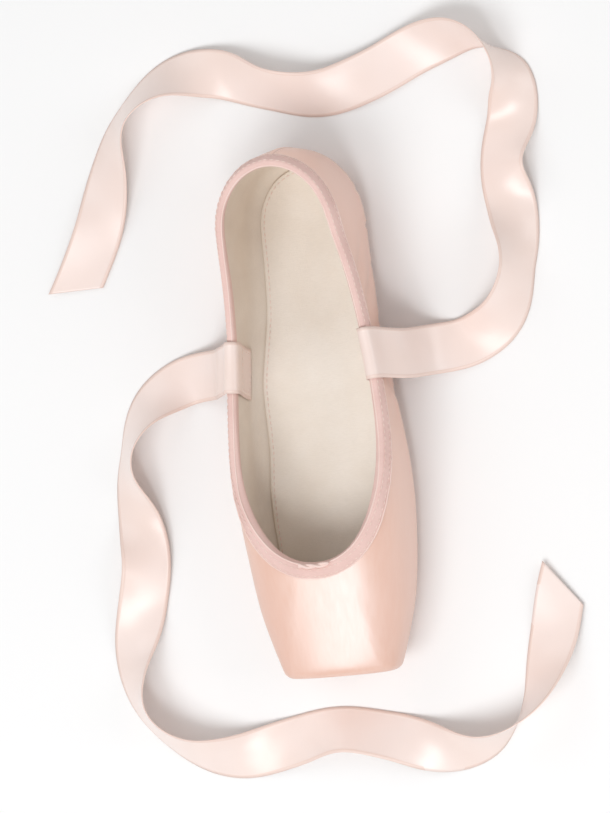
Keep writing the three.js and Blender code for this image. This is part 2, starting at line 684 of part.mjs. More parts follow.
// A closed tube from open-ended rings of points, capped with flat strips at both ends. The two halves of
// a ring are cut into facets along the same diagonals, so that a thin strip keeps its thickness in a twist.
function tubeGeometry(rings) {
  const count = rings[0].length;
  const half = count / 2;
  const positions = rings.flat().flatMap((p) => [p.x, p.y, p.z]);
  const index = [];
  for (let row = 0; row + 1 < rings.length; row++) {
    for (let i = 0; i < count; i++) {
      const j = (i + 1) % count;
      const here = row * count;
      const next = here + count;
      if (i < half) index.push(here + i, here + j, next + j, here + i, next + j, next + i);
      else index.push(here + i, here + j, next + i, here + j, next + j, next + i);
    }
  }
  const end = (rings.length - 1) * count;
  for (let i = 0; i + 1 < half; i++) {
    const [a, b, c, d] = [i, i + 1, count - 2 - i, count - 1 - i];
    index.push(a, c, b, a, d, c);
    index.push(end + a, end + b, end + c, end + a, end + c, end + d);
  }
  const geometry = indexedGeometry(positions, index);
  const turned = index.map((_, i) => index[i - (i % 3) + [0, 2, 1][i % 3]]);
  if (signedVolume(geometry) < 0) geometry.setIndex(turned);
  return geometry;
}

function signedVolume(geometry) {
  const { position } = geometry.attributes;
  const { array } = geometry.index;
  let sum = 0;
  for (let i = 0; i < array.length; i += 3) {
    const [a, b, c] = [0, 1, 2].map((k) => new THREE.Vector3().fromBufferAttribute(position, array[i + k]));
    sum += a.dot(b.cross(c)) / 6;
  }
  return sum;
}

function solidFrom(geometry) {
  const vertProperties = new Float32Array(geometry.attributes.position.array);
  const triVerts = new Uint32Array(geometry.index.array);
  return new wasm.Manifold(new wasm.Mesh({ numProp: 3, vertProperties, triVerts }));
}

function geometryFrom(solid) {
  const mesh = solid.getMesh();
  return indexedGeometry(Array.from(mesh.vertProperties), Array.from(mesh.triVerts));
}

// A round cord along a curve, closed at both ends
function cordGeometry(curve) {
  const rings = [];
  const frames = curve.computeFrenetFrames(STRING_STEPS);
  for (let i = 0; i <= STRING_STEPS; i++) {
    const place = curve.getPointAt(i / STRING_STEPS);
    rings.push(
      Array.from({ length: STRING_SIDES }, (_, k) => {
        const turn = (2 * Math.PI * k) / STRING_SIDES;
        return place
          .clone()
          .addScaledVector(frames.normals[i], STRING_RADIUS * Math.cos(turn))
          .addScaledVector(frames.binormals[i], STRING_RADIUS * Math.sin(turn));
      }),
    );
  }
  return tubeGeometry(rings);
}

// The two ends of the drawstring, twisted together on the upper edge of the binding at the throat
function drawstringGeometry() {
  const rimPerAround = ((Math.PI / 2) * collarRim(0).out) / TOE_TURN;
  const end = (phase) => {
    const points = [];
    for (let i = 0; i <= STRING_STEPS; i++) {
      const along = lerp(-TWIST_HALF, TWIST_HALF, i / STRING_STEPS);
      const around = Math.abs(along) / rimPerAround;
      const turn = phase + (2 * Math.PI * TWIST_TURNS * i) / STRING_STEPS;
      const past = BINDING_THICKNESS + TWIST_RADIUS * Math.cos(turn);
      const off = bindingFaces(around).skin + STRING_RADIUS + TWIST_SEAT + TWIST_RADIUS * Math.sin(turn);
      const point = rimSurface(around)(past, off);
      points.push(point.setX(point.x * Math.sign(along)));
    }
    return new THREE.CatmullRomCurve3(points);
  };
  return geometryFrom(solidFrom(cordGeometry(end(0))).add(solidFrom(cordGeometry(end(Math.PI)))));
}

function piece(name, geometry, material) {
  const mesh = new THREE.Mesh(geometry, material);
  mesh.name = name;
  return mesh;
}

const satin = new THREE.MeshStandardMaterial({ color: 0xf4cdbd, roughness: 0.34, metalness: 0 });
const tape = new THREE.MeshStandardMaterial({ color: 0xf1c8bd, roughness: 0.75, metalness: 0 });
const ribbonSatin = new THREE.MeshStandardMaterial({ color: 0xf6d9cb, roughness: 0.3, metalness: 0 });
const leather = new THREE.MeshStandardMaterial({ color: 0xe3c6b2, roughness: 0.7, metalness: 0 });
const sock = new THREE.MeshStandardMaterial({ color: 0xf0e2d3, roughness: 0.85, metalness: 0 });

const shoe = new THREE.Group();
shoe.add(
  piece("outsole", outsoleGeometry(), leather),
  piece("upper", upperGeometry(), satin),
  piece("insole", insoleGeometry(), sock),
  piece("binding", bindingGeometry(), tape),
  piece("drawstring", drawstringGeometry(), tape),
  piece("ribbon_right", ribbonGeometry(1, RIGHT_RIBBON_ROUTE), ribbonSatin),
  piece("ribbon_left", ribbonGeometry(-1, LEFT_RIBBON_ROUTE), ribbonSatin),
);

export default shoe;
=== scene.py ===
import bpy
import bmesh
import math
from mathutils import Matrix, Vector
from mathutils.bvhtree import BVHTree


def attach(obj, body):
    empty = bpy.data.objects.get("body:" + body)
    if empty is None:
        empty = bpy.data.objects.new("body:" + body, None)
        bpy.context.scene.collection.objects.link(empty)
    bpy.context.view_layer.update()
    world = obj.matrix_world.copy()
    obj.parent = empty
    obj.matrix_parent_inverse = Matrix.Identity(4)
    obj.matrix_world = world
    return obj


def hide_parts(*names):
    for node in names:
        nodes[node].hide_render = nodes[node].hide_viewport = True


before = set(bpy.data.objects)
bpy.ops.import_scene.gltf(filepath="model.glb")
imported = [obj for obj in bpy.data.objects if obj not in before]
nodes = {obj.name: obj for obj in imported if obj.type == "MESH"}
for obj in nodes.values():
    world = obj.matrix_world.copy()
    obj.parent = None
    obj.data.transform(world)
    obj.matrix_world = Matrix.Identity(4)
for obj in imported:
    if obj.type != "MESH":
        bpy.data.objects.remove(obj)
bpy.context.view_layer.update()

scene = bpy.context.scene
mm = 0.001
print("frame loaded:", sorted(nodes))


# camera over the vamp, toe at the bottom of the picture, leaning to the shoe's right side
viewing = dict(leanDeg=18, rollDeg=6, distance=1.8, frameHeight=0.356, aim=(-0.008, 0.0025, 0.012))


def makeCamera(v):
    lean, roll = math.radians(v["leanDeg"]), math.radians(v["rollDeg"])
    out = Vector((math.sin(lean), 0, math.cos(lean)))
    side = Vector((math.cos(lean), 0, -math.sin(lean)))
    along = Vector((0, 1, 0))
    right = side * math.cos(roll) - along * math.sin(roll)
    up = along * math.cos(roll) + side * math.sin(roll)
    camera = bpy.data.objects.new("camera", bpy.data.cameras.new("camera"))
    scene.collection.objects.link(camera)
    camera.data.sensor_fit = "VERTICAL"
    camera.data.angle = 2 * math.atan(v["frameHeight"] / 2 / v["distance"])
    turned = Matrix((right, up, out)).transposed().to_4x4()
    camera.matrix_world = Matrix.Translation(Vector(v["aim"]) + out * v["distance"]) @ turned
    scene.camera = camera


makeCamera(viewing)
print("camera placed")


# small helpers for meshes
joining = dict(same=2e-6, bend=1.2, shape=1.4)


def mergedCopy(name):
    bm = bmesh.new()
    bm.from_mesh(nodes[name].data)
    bmesh.ops.remove_doubles(bm, verts=bm.verts, dist=joining["same"])
    bmesh.ops.join_triangles(bm, faces=bm.faces, angle_face_threshold=joining["bend"],
                             angle_shape_threshold=joining["shape"])
    return bm


def asObject(bm, name, materials, smooth=True):
    mesh = bpy.data.meshes.new(name)
    bm.to_mesh(mesh)
    bm.free()
    for m in materials:
        mesh.materials.append(m)
    mesh.polygons.foreach_set("use_smooth", [smooth] * len(mesh.polygons))
    obj = bpy.data.objects.new(name, mesh)
    scene.collection.objects.link(obj)
    return obj


def rounded(obj, levels):
    soft = obj.modifiers.new("round", "SUBSURF")
    soft.levels = soft.render_levels = levels
    bpy.context.view_layer.update()
    fresh = bpy.data.meshes.new_from_object(obj.evaluated_get(bpy.context.evaluated_depsgraph_get()))
    obj.modifiers.clear()
    old = obj.data
    obj.data = fresh
    bpy.data.meshes.remove(old)
    fresh.name = obj.name
    return obj


def keepSharp(bm, angle, chosen=lambda e: True):
    crease = bm.edges.layers.float.new("crease_edge")
    for e in bm.edges:
        if len(e.link_faces) == 2 and e.calc_face_angle() > angle and chosen(e):
            e[crease] = 1.0


def meshTree(mesh):
    bm = bmesh.new()
    bm.from_mesh(mesh)
    tree = BVHTree.FromBMesh(bm)
    bm.free()
    return tree


def nodeTree(name):
    return meshTree(nodes[name].data)


def place(obj, slot, *replaced):
    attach(obj, "root")
    if replaced:
        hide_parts(*replaced)
    return obj


def clamped(x, low, high):
    return min(1, max(0, (x - low) / (high - low)))


def easeStep(x, low, high):
    t = clamped(x, low, high)
    return t * t * (3 - 2 * t)


# node helpers
def newMaterial(name):
    mat = bpy.data.materials.new(name)
    mat.use_nodes = True
    tree = mat.node_tree
    return mat, tree, tree.nodes["Principled BSDF"]


def node(tree, kind, **values):
    n = tree.nodes.new(kind)
    for key, value in values.items():
        if key in n.inputs:
            n.inputs[key].default_value = value
        else:
            setattr(n, key, value)
    return n


def objectPoint(tree, scale):
    point = node(tree, "ShaderNodeTexCoord")
    mapping = node(tree, "ShaderNodeMapping")
    mapping.inputs["Scale"].default_value = scale if hasattr(scale, "__len__") else (scale,) * 3
    tree.links.new(point.outputs["Object"], mapping.inputs["Vector"])
    return mapping.outputs["Vector"]


def noiseOn(tree, scale, detail=2.0, rough=0.5):
    n = node(tree, "ShaderNodeTexNoise", Scale=1.0, Detail=detail, Roughness=rough)
    tree.links.new(objectPoint(tree, scale), n.inputs["Vector"])
    return n.outputs["Fac"]


def attribute(tree, name):
    return node(tree, "ShaderNodeAttribute", attribute_name=name).outputs["Fac"]


def ramp(tree, value, dark, pale, low=0.3, high=0.65):
    r = node(tree, "ShaderNodeValToRGB")
    for stop, at, colour in zip(r.color_ramp.elements, (low, high), (dark, pale)):
        stop.position, stop.color = at, (*colour, 1)
    tree.links.new(value, r.inputs["Fac"])
    return r.outputs["Color"]


def span(tree, value, low, high, fromLow=0.3, fromHigh=0.7):
    m = node(tree, "ShaderNodeMapRange")
    m.inputs["From Min"].default_value, m.inputs["From Max"].default_value = fromLow, fromHigh
    m.inputs["To Min"].default_value, m.inputs["To Max"].default_value = low, high
    tree.links.new(value, m.inputs["Value"])
    return m.outputs["Result"]


def mixed(tree, share, colourA, colourB):
    mix = node(tree, "ShaderNodeMix", data_type="RGBA")
    tree.links.new(share, mix.inputs["Factor"])
    for socket, colour in ((mix.inputs[6], colourA), (mix.inputs[7], colourB)):
        if isinstance(colour, tuple):
            socket.default_value = (*colour, 1)
        else:
            tree.links.new(colour, socket)
    return mix.outputs[2]


def mathOn(tree, kind, a, b=None):
    m = node(tree, "ShaderNodeMath", operation=kind)
    for socket, value in zip(m.inputs, (a, b)):
        if value is None:
            continue
        if isinstance(value, (int, float)):
            socket.default_value = value
        else:
            tree.links.new(value, socket)
    return m.outputs[0]


# heights: (socket, strength, distance) from the broadest to the finest
def addBump(tree, shader, heights):
    normal = None
    for height, strength, distance in heights:
        b = node(tree, "ShaderNodeBump", Strength=strength, Distance=distance)
        tree.links.new(height, b.inputs["Height"])
        if normal:
            tree.links.new(normal, b.inputs["Normal"])
        normal = b.outputs["Normal"]
    tree.links.new(normal, shader.inputs["Normal"])


def gloss(shader, sheen=0.0, sheenRough=0.4, coat=0.0, coatRough=0.2, specular=0.5, tint=(1, 1, 1)):
    shader.inputs["Sheen Weight"].default_value = sheen
    shader.inputs["Sheen Roughness"].default_value = sheenRough
    shader.inputs["Sheen Tint"].default_value = (*tint, 1)
    shader.inputs["Coat Weight"].default_value = coat
    shader.inputs["Coat Roughness"].default_value = coatRough
    shader.inputs["Specular IOR Level"].default_value = specular


# satin of the upper: close warp threads along the shoe, soft gloss, slight unevenness, painted shade along
# the seams
satinLook = dict(
    dark=(0.855, 0.495, 0.365), pale=(0.89, 0.555, 0.44), thread=(0.91, 0.62, 0.52), threadShare=0.22,
    seam=(0.52, 0.28, 0.20), seamShadeShare=0.75, rough=(0.36, 0.43), bend=1.72, pearl=(0.66, 0.92, 1.0),
    stretch=0.5, patches=(26, 14, 26), streaks=(700, 30, 700), ripple=(110, 60, 110), slubs=(800, 60, 800),
    threads=(5200, 500, 5200),
)


def makeSatin(look):
    mat, tree, shader = newMaterial("peachSatin")
    streaks = noiseOn(tree, look["streaks"])
    base = ramp(tree, noiseOn(tree, look["patches"], 3), look["dark"], look["pale"])
    fine = mixed(tree, span(tree, streaks, 0, look["threadShare"]), base, look["thread"])
    # painted shade: the seam colour darkens the satin along the seam lines
    seam = span(tree, attribute(tree, "seam"), 0, look["seamShadeShare"], 0.2, 0.9)
    tree.links.new(mixed(tree, seam, fine, look["seam"]), shader.inputs["Base Color"])
    tree.links.new(span(tree, streaks, *look["rough"]), shader.inputs["Roughness"])
    ripple, slubs = noiseOn(tree, look["ripple"]), noiseOn(tree, look["slubs"])
    threads = noiseOn(tree, look["threads"], 1)
    addBump(tree, shader, [(ripple, 0.10, 1.6 * mm), (slubs, 0.10, 0.3 * mm), (threads, 0.10, 0.1 * mm)])
    gloss(shader, sheen=0.08, coat=0.35, coatRough=0.27, specular=0.9, tint=(1.0, 0.93, 0.9))
    shader.inputs["IOR"].default_value = look["bend"]
    shader.inputs["Specular Tint"].default_value = (*look["pearl"], 1)
    shader.inputs["Anisotropic"].default_value = look["stretch"]  # gloss drawn out across the threads
    roundFoot = node(tree, "ShaderNodeTangent", direction_type="RADIAL", axis="Y")
    tree.links.new(roundFoot.outputs[0], shader.inputs["Tangent"])
    return mat


# cotton: drill lining, sock sheet, binding tape, its rolled edges and the thread, with painted shade in the
# weave's gaps
cotton = dict(patches=55, deep=0.88, fuzz=400, rough=(0.74, 0.9), warpHeight=0.2 * mm)
liningLook = dict(name="creamLining", dark=(0.80, 0.70, 0.60), pale=(0.86, 0.77, 0.67), weave=3000)
sockLook = dict(name="creamSock", dark=(0.84, 0.76, 0.67), pale=(0.88, 0.81, 0.73), weave=3000)
tapeLook = dict(name="pinkTape", dark=(0.785, 0.54, 0.49), pale=(0.855, 0.61, 0.555), weave=2600)
pipingLook = dict(name="palePiping", dark=(0.88, 0.66, 0.59), pale=(0.93, 0.73, 0.67), weave=3000)
threadLook = dict(name="paleThread", dark=(0.84, 0.64, 0.56), pale=(0.92, 0.75, 0.68), weave=6000)


def makeCotton(look):
    mat, tree, shader = newMaterial(look["name"])
    weave = look["weave"]
    warp = noiseOn(tree, (weave, weave / 6, weave / 2), 1)
    weft = noiseOn(tree, (weave / 6, weave, weave), 1)
    plain = ramp(tree, noiseOn(tree, cotton["patches"], 3), look["dark"], look["pale"])
    # painted shade: the gaps between the weft threads are darkened to the deep colour
    deep = tuple(c * cotton["deep"] for c in look["dark"])
    gapShade = span(tree, weft, 0.16, 0, 0.35, 0.6)
    tree.links.new(mixed(tree, gapShade, plain, deep), shader.inputs["Base Color"])
    tree.links.new(span(tree, noiseOn(tree, cotton["fuzz"]), *cotton["rough"]), shader.inputs["Roughness"])
    addBump(tree, shader, [(warp, 0.35, cotton["warpHeight"]), (weft, 0.35, cotton["warpHeight"])])
    gloss(shader, sheen=0.12, specular=0.25)
    return mat


satin = makeSatin(satinLook)
lining = makeCotton(liningLook)
sock = makeCotton(sockLook)
tape = makeCotton(tapeLook)
piping = makeCotton(pipingLook)
print("cloth materials ready")


# ribbons: satin tape copied from where the solids lie, with woven borders
ribbon = dict(
    width=22 * mm, length=500 * mm, levels=3, sharp=0.7, thin=0.6 * mm, crossing=0.45,
    dark=(0.92, 0.75, 0.68), pale=(0.945, 0.80, 0.745), border=(0.88, 0.69, 0.615), borderFrom=(0.84, 0.88),
    rough=(0.30, 0.5), ribs=250, patches=28, slubs=300, threads=3600,
)


def makeRibbonSatin(look):
    mat, tree, shader = newMaterial("ribbonSatin")
    edge = span(tree, attribute(tree, "border"), 0, 1, *look["borderFrom"])
    ribs = mathOn(tree, "SINE", span(tree, attribute(tree, "border"), 0, look["ribs"], 0, 1))
    plain = ramp(tree, noiseOn(tree, look["patches"]), look["dark"], look["pale"])
    tree.links.new(mixed(tree, edge, plain, look["border"]), shader.inputs["Base Color"])
    tree.links.new(span(tree, edge, *look["rough"], 0, 1), shader.inputs["Roughness"])
    slubs, threads = noiseOn(tree, look["slubs"]), noiseOn(tree, look["threads"], 1)
    addBump(tree, shader, [(edge, 0.4, 0.2 * mm), (ribs, 0.05, 0.1 * mm), (slubs, 0.05, 0.4 * mm),
                           (threads, 0.08, 0.1 * mm)])
    gloss(shader, sheen=0.12, coat=0.12, coatRough=0.22, specular=0.65, tint=(1.0, 0.95, 0.92))
    return mat


def onBorder(v, r):
    across = [e.other_vert(v).co - v.co for e in v.link_edges if e.calc_length() > r["crossing"] * r["width"]]
    atEnd = any(a.dot(b) < 0 for a in across for b in across)
    return any(e.calc_length() < r["thin"] for e in v.link_edges) and not atEnd


def besideThin(e, thin):
    return any(len(f.verts) == 4 and min(d.calc_length() for d in f.edges) < thin for f in e.link_faces)


def makeRibbon(name, r):
    bm = mergedCopy(name)
    border = bm.verts.layers.float.new("border")
    for v in bm.verts:
        v[border] = float(onBorder(v, r))
    keepSharp(bm, r["sharp"], lambda e: besideThin(e, r["thin"]))
    obj = rounded(asObject(bm, name + "_satin", [ribbonSatin]), r["levels"])
    place(obj, "ribbon_satin", name)
    return meshTree(obj.data)


ribbonSatin = makeRibbonSatin(ribbon)
ribbonTrees = {name: makeRibbon(name, ribbon) for name in ("ribbon_right", "ribbon_left")}
print("ribbons laid")


# the shoe's own measure in millimetres: around from the toe centre to the heel centre, and height
core = dict(height=20, front=-41, back=82, toeTurn=52, heelTurn=42, seam=59, slant=5, far=0.2)
core["sideRun"] = core["back"] - core["front"]
core["heelFrom"] = core["toeTurn"] + core["sideRun"]
core["halfRound"] = core["heelFrom"] + core["heelTurn"]
core["seamAround"] = core["toeTurn"] + core["seam"]


# how far the side seam leans back at a place along the side
def slantAt(alongSide, angle):
    return core["slant"] * math.sin(math.pi * alongSide) ** 2 * easeStep(angle, -0.5, 0.6)


def coreRay(around, angle, side):
    c = core
    around = around + slantAt(clamped(around, c["toeTurn"], c["heelFrom"]), angle)
    turn, y = 0, c["front"] + around - c["toeTurn"]
    if around < c["toeTurn"]:
        turn, y = -math.pi / 2 * (1 - around / c["toeTurn"]), c["front"]
    if around > c["heelFrom"]:
        turn, y = math.pi / 2 * (around - c["toeTurn"] - c["sideRun"]) / c["heelTurn"], c["back"]
    level = math.cos(angle)
    ray = Vector((side * math.cos(turn) * level, math.sin(turn) * level, math.sin(angle)))
    return Vector((0, y, c["height"])) * mm, ray


def outerHit(tree, around, angle, side):
    start, ray = coreRay(around, angle, side)
    return tree.ray_cast(start + ray * core["far"], -ray, core["far"])[:2]


def innerHit(tree, around, angle, side):
    start, ray = coreRay(around, angle, side)
    return tree.ray_cast(start, ray, core["far"])[:2]


def aroundOf(p):
    c = core
    x, y = abs(p.x) / mm, p.y / mm
    if y < c["front"]:
        return c["toeTurn"] * (1 - math.atan2(c["front"] - y, x) / (math.pi / 2))
    if y > c["back"]:
        return c["heelFrom"] + c["heelTurn"] * math.atan2(y - c["back"], x) / (math.pi / 2)
    return c["toeTurn"] + y - c["front"]


def coreSpot(p):
    return min(core["back"], max(core["front"], p.y / mm))


def placesAround(columns, side):
    places = [core["halfRound"] * i / columns for i in range(columns + 1)]
    return places if side > 0 else places[-2:0:-1]


# upper: satin outside, cotton inside, soft creases where it is drawn in and bent
upperLook = dict(levels=2)

# main creases, listed one by one. side, start and end as (around, height), wide: half-width, deep: depth, all
# in mm
creases = [
    dict(side=1, start=(121, 27), end=(131, 12), wide=2.6, deep=0.7),
    dict(side=1, start=(103, 24), end=(95, 11), wide=2.4, deep=0.55),
    dict(side=1, start=(136, 30), end=(152, 15), wide=3.2, deep=0.8),
    dict(side=1, start=(150, 36), end=(163, 24), wide=3.0, deep=0.6),
    dict(side=1, start=(84, 30), end=(92, 16), wide=3.4, deep=0.5),
    dict(side=-1, start=(119, 25), end=(127, 11), wide=2.6, deep=0.6),
    dict(side=-1, start=(102, 27), end=(93, 13), wide=2.6, deep=0.6),
    dict(side=-1, start=(133, 28), end=(147, 12), wide=3.2, deep=0.8),
    dict(side=-1, start=(147, 38), end=(158, 27), wide=3.0, deep=0.55),
    dict(side=-1, start=(160, 22), end=(172, 14), wide=2.6, deep=0.6),
]

# profile across a crease, in half-widths, and the width in mm of the bins that creases are sorted into
creaseForm = dict(reach=4, ridgeAt=1.7, ridge=0.45, binWide=8)

# gathers along the edge of the sole: round the heel and under the toe
gathers = dict(heelFrom=150, heelPitch=5.2, heelTop=15, toeTo=46, toePitch=6.0, toeTop=10,
               foot=-2, lean=1.5, deep=0.5, wide=1.3)


def gatherCreases(g):
    made = []
    for side in (1, -1):
        for first, last, pitch, top in (
            (g["heelFrom"], core["halfRound"], g["heelPitch"], g["heelTop"]),
            (0, g["toeTo"], g["toePitch"], g["toeTop"]),
        ):
            for i in range(int((last - first) / pitch)):
                jitter = math.sin(i * 2.4 + side)  # uneven but the same each time
                around = first + pitch * (i + 0.5 + 0.25 * jitter)
                height = top * (0.75 + 0.3 * math.sin(i * 1.7 + 2 * side))
                start, end = (around, g["foot"]), (around + g["lean"] * jitter, height)
                made.append(dict(side=side, start=start, end=end, wide=g["wide"], deep=g["deep"]))
    return made


def creaseDepth(c, around, height):
    (a1, h1), (a2, h2) = c["start"], c["end"]
    run = math.hypot(a2 - a1, h2 - h1)
    da, dh = (a2 - a1) / run, (h2 - h1) / run
    off = ((height - h1) * da - (around - a1) * dh) / c["wide"]
    if abs(off) > creaseForm["reach"]:
        return 0
    share = ((around - a1) * da + (height - h1) * dh) / run
    window = easeStep(share, -0.2, 0.3) * (1 - easeStep(share, 0.6, 1.2))
    ridgeAt = creaseForm["ridgeAt"]
    ridges = math.exp(-(off - ridgeAt) ** 2) + math.exp(-(off + ridgeAt) ** 2)
    return c["deep"] * window * (creaseForm["ridge"] * ridges - math.exp(-off ** 2))


def pressCreases(obj, folds):
    bm = bmesh.new()
    bm.from_mesh(obj.data)
    bm.normal_update()
    binWide = creaseForm["binWide"]
    near = {}
    for c in folds:
        margin = creaseForm["reach"] * c["wide"]
        low = min(c["start"][0], c["end"][0]) - margin
        high = max(c["start"][0], c["end"][0]) + margin
        for slot in range(int(low // binWide), int(high // binWide) + 1):
            near.setdefault((c["side"], slot), []).append(c)
    moves = []
    for v in bm.verts:
        if any(f.material_index for f in v.link_faces):
            continue
        around = aroundOf(v.co)
        side = 1 if v.co.x >= 0 else -1
        close = near.get((side, int(around // binWide)), ())
        depth = sum(creaseDepth(c, around, v.co.z / mm) for c in close)
        if depth:
            moves.append((v, v.normal * depth * mm))
    for v, move in moves:
        v.co += move
    bm.to_mesh(obj.data)
    bm.free()


# painted shade: thin dark lines along the seams where the quarters meet the vamp and each other, in mm
seamShadeLine = dict(sideHalf=0.45, backAt=1.15, backHalf=0.4)


def markSeamShade(obj, s):
    marks = obj.data.attributes.new("seam", "FLOAT", "POINT")
    values = []
    for v in obj.data.vertices:
        x, y, z = (c / mm for c in v.co)
        angle = math.atan2(z - core["height"], math.hypot(x, y - coreSpot(v.co)))
        lean = slantAt(clamped(y, core["front"], core["back"]), angle)
        around = aroundOf(v.co)
        fromSide = abs(around - lean - core["seamAround"]) / s["sideHalf"]
        fromBack = abs(core["halfRound"] - around - s["backAt"]) / s["backHalf"]
        values.append(max(0, 1 - min(fromSide, fromBack)))
    marks.data.foreach_set("value", values)


def makeUpper(u):
    bm = mergedCopy("upper")
    for f in bm.faces:
        c = f.calc_center_median()
        outward = c - Vector((0, coreSpot(c), core["height"])) * mm
        f.material_index = 1 if f.normal.dot(outward) < 0 else 0
    obj = rounded(asObject(bm, "satin_upper", [satin, lining]), u["levels"])
    pressCreases(obj, creases + gatherCreases(gathers))
    markSeamShade(obj, seamShadeLine)
    return place(obj, "satin", "upper")


makeUpper(upperLook)
print("upper made and creased")


# sharp is the angle above which an edge stays hard; the first value is above any angle
def makeCovered(name, newName, slot, material, levels, sharp=3.2):
    bm = mergedCopy(name)
    keepSharp(bm, sharp)
    obj = rounded(asObject(bm, newName, [material]), levels)
    return place(obj, slot, name)


makeCovered("binding", "rim_binding", "binding_tape", tape, 2)
makeCovered("insole", "cotton_insole", "sock_cloth", sock, 2)
makeCovered("drawstring", "drawstring_ends", "binding_tape", piping, 1)
print("binding, insole and drawstring made")


# trims that follow the rim: a thin pale roll on both edges of the binding
# rolls and rows are placed by their share of the way from the tape's outer edge to its inner edge
rimTrim = dict(columns=200, lowAngle=-0.15, step=0.01, halvings=8, roll=0.36 * mm, even=4, sunk=0.1 * mm,
               outerRoll=0.02, innerRoll=0.97, outerRow=0.22, innerRow=0.72)
bindingTree = nodeTree("binding")
upperTree = nodeTree("upper")


# the tape where no satin covers it
def tapeHit(around, angle, side):
    start = coreRay(around, angle, side)[0]
    hit, skin = outerHit(bindingTree, around, angle, side), outerHit(upperTree, around, angle, side)[0]
    covered = hit[0] and skin and (skin - start).length > (hit[0] - start).length
    return (None, None) if covered else hit


def finerAngle(around, side, inside, outside, halvings):
    for _ in range(halvings):
        middle = (inside + outside) / 2
        if tapeHit(around, middle, side)[0]:
            inside = middle
        else:
            outside = middle
    return inside


def edgeAngles(around, side, r):
    angle, low = r["lowAngle"], None
    while angle < math.pi / 2:
        hit = tapeHit(around, angle, side)[0]
        if hit and low is None:
            low = finerAngle(around, side, angle, angle - r["step"], r["halvings"])
        if low is not None and not hit:
            return low, finerAngle(around, side, angle - r["step"], angle, r["halvings"])
        angle += r["step"]


def rimRing(r):
    return [(around, side, *edgeAngles(around, side, r)) for side in (1, -1)
            for around in placesAround(r["columns"], side)]


def rimLine(ring, share):
    return [tapeHit(around, low + (high - low) * share, side) for around, side, low, high in ring]


def evenLine(line, reach, sunk):
    count = len(line)
    middles = [sum((line[(i + j) % count][0] for j in range(-reach, reach + 1)), Vector()) / (2 * reach + 1)
               for i in range(count)]
    return [p - n * sunk for p, n, _, _ in map(bindingTree.find_nearest, middles)]


def ringTube(points, radius, name, material):
    data = bpy.data.curves.new(name, "CURVE")
    data.dimensions, data.bevel_depth, data.bevel_resolution = "3D", radius, 1
    spline = data.splines.new("POLY")
    spline.points.add(len(points) - 1)
    for point, spot in zip(spline.points, points):
        point.co = (*spot, 1)
    spline.use_cyclic_u = True
    curve = bpy.data.objects.new(name, data)
    scene.collection.objects.link(curve)
    mesh = bpy.data.meshes.new_from_object(curve.evaluated_get(bpy.context.evaluated_depsgraph_get()))
    bpy.data.objects.remove(curve)
    bpy.data.curves.remove(data)
    mesh.materials.clear()
    mesh.materials.append(material)
    mesh.polygons.foreach_set("use_smooth", [True] * len(mesh.polygons))
    obj = bpy.data.objects.new(name, mesh)
    scene.collection.objects.link(obj)
    return obj


rimAround = rimRing(rimTrim)
for name, share in (("outer_roll", rimTrim["outerRoll"]), ("inner_roll", rimTrim["innerRoll"])):
    line = evenLine(rimLine(rimAround, share), rimTrim["even"], rimTrim["sunk"])
    place(ringTube(line, rimTrim["roll"], name, piping), "binding_tape")
print("rolls laid along the binding")


# stitches: small rounded threads along lines of (place, outward direction)
stitch = dict(length=2.0 * mm, pitch=2.7 * mm, half=0.24 * mm, rise=0.18 * mm, segments=6, rings=5)
thread = makeCotton(threadLook)


def stitchRow(bm, line, t=stitch):
    walked, nextAt = 0, t["pitch"] / 2
    for (p, n), (q, m) in zip(line, line[1:]):
        step = (q - p).length
        while step and nextAt <= walked + step:
            share = (nextAt - walked) / step
            along = (q - p).normalized()
            out = n.lerp(m, share)
            out = (out - along * out.dot(along)).normalized()
            turned = Matrix((along, out.cross(along), out)).transposed().to_4x4()
            size = Matrix.Diagonal((t["length"] / 2, t["half"], t["rise"], 1))
            at = Matrix.Translation(p.lerp(q, share))
            bmesh.ops.create_uvsphere(bm, u_segments=t["segments"], v_segments=t["rings"], radius=1,
                                      matrix=at @ turned @ size)
            nextAt += t["pitch"]
        walked += step


def bindingRows(bm, r):
    for share in (r["outerRow"], r["innerRow"]):
        line = rimLine(rimAround, share)
        stitchRow(bm, line + line[:1])


# rows beside the side seams and the back seam, from the sole up to the tape
seamRow = dict(fromSide=1.5, fromBack=2.0, lowAngle=-0.42, underTape=0.03, steps=40)


def seamRows(bm, r):
    ends = (0, core["halfRound"])
    for side in (1, -1):
        tapeLow = {at: low for at, ringSide, low, _ in rimAround if ringSide == side or at in ends}
        for around in (core["seamAround"] - r["fromSide"], core["halfRound"] - r["fromBack"]):
            top = tapeLow[min(tapeLow, key=lambda at: abs(at - around))] - r["underTape"]
            angles = [r["lowAngle"] + (top - r["lowAngle"]) * i / r["steps"] for i in range(r["steps"] + 1)]
            stitchRow(bm, [outerHit(upperTree, around, angle, side) for angle in angles])


# where each ribbon is sewn down inside the rim, in mm
sewnBox = dict(half=8.4, low=17, high=28, reach=30.5, steps=24)


def ribbonRows(bm, box):
    corners = [(-box["half"], box["low"]), (box["half"], box["low"]), (box["half"], box["high"]),
               (-box["half"], box["high"]), (-box["half"], box["low"])]
    for side, name in ((1, "ribbon_right"), (-1, "ribbon_left")):
        for (a1, z1), (a2, z2) in zip(corners, corners[1:]):
            line = []
            for i in range(box["steps"] + 1):
                around = core["seamAround"] + a1 + (a2 - a1) * i / box["steps"]
                z = z1 + (z2 - z1) * i / box["steps"]
                angle = math.atan2(z - core["height"], box["reach"])
                hit = innerHit(ribbonTrees[name], around, angle, side)
                if hit[0]:
                    line.append(hit)
            stitchRow(bm, line)


# a row just inside the edge of the sock, found by rays from above
insoleRow = dict(inset=2.4 * mm, columns=110, angle=-0.6, longest=0.12, high=0.1, halvings=20)


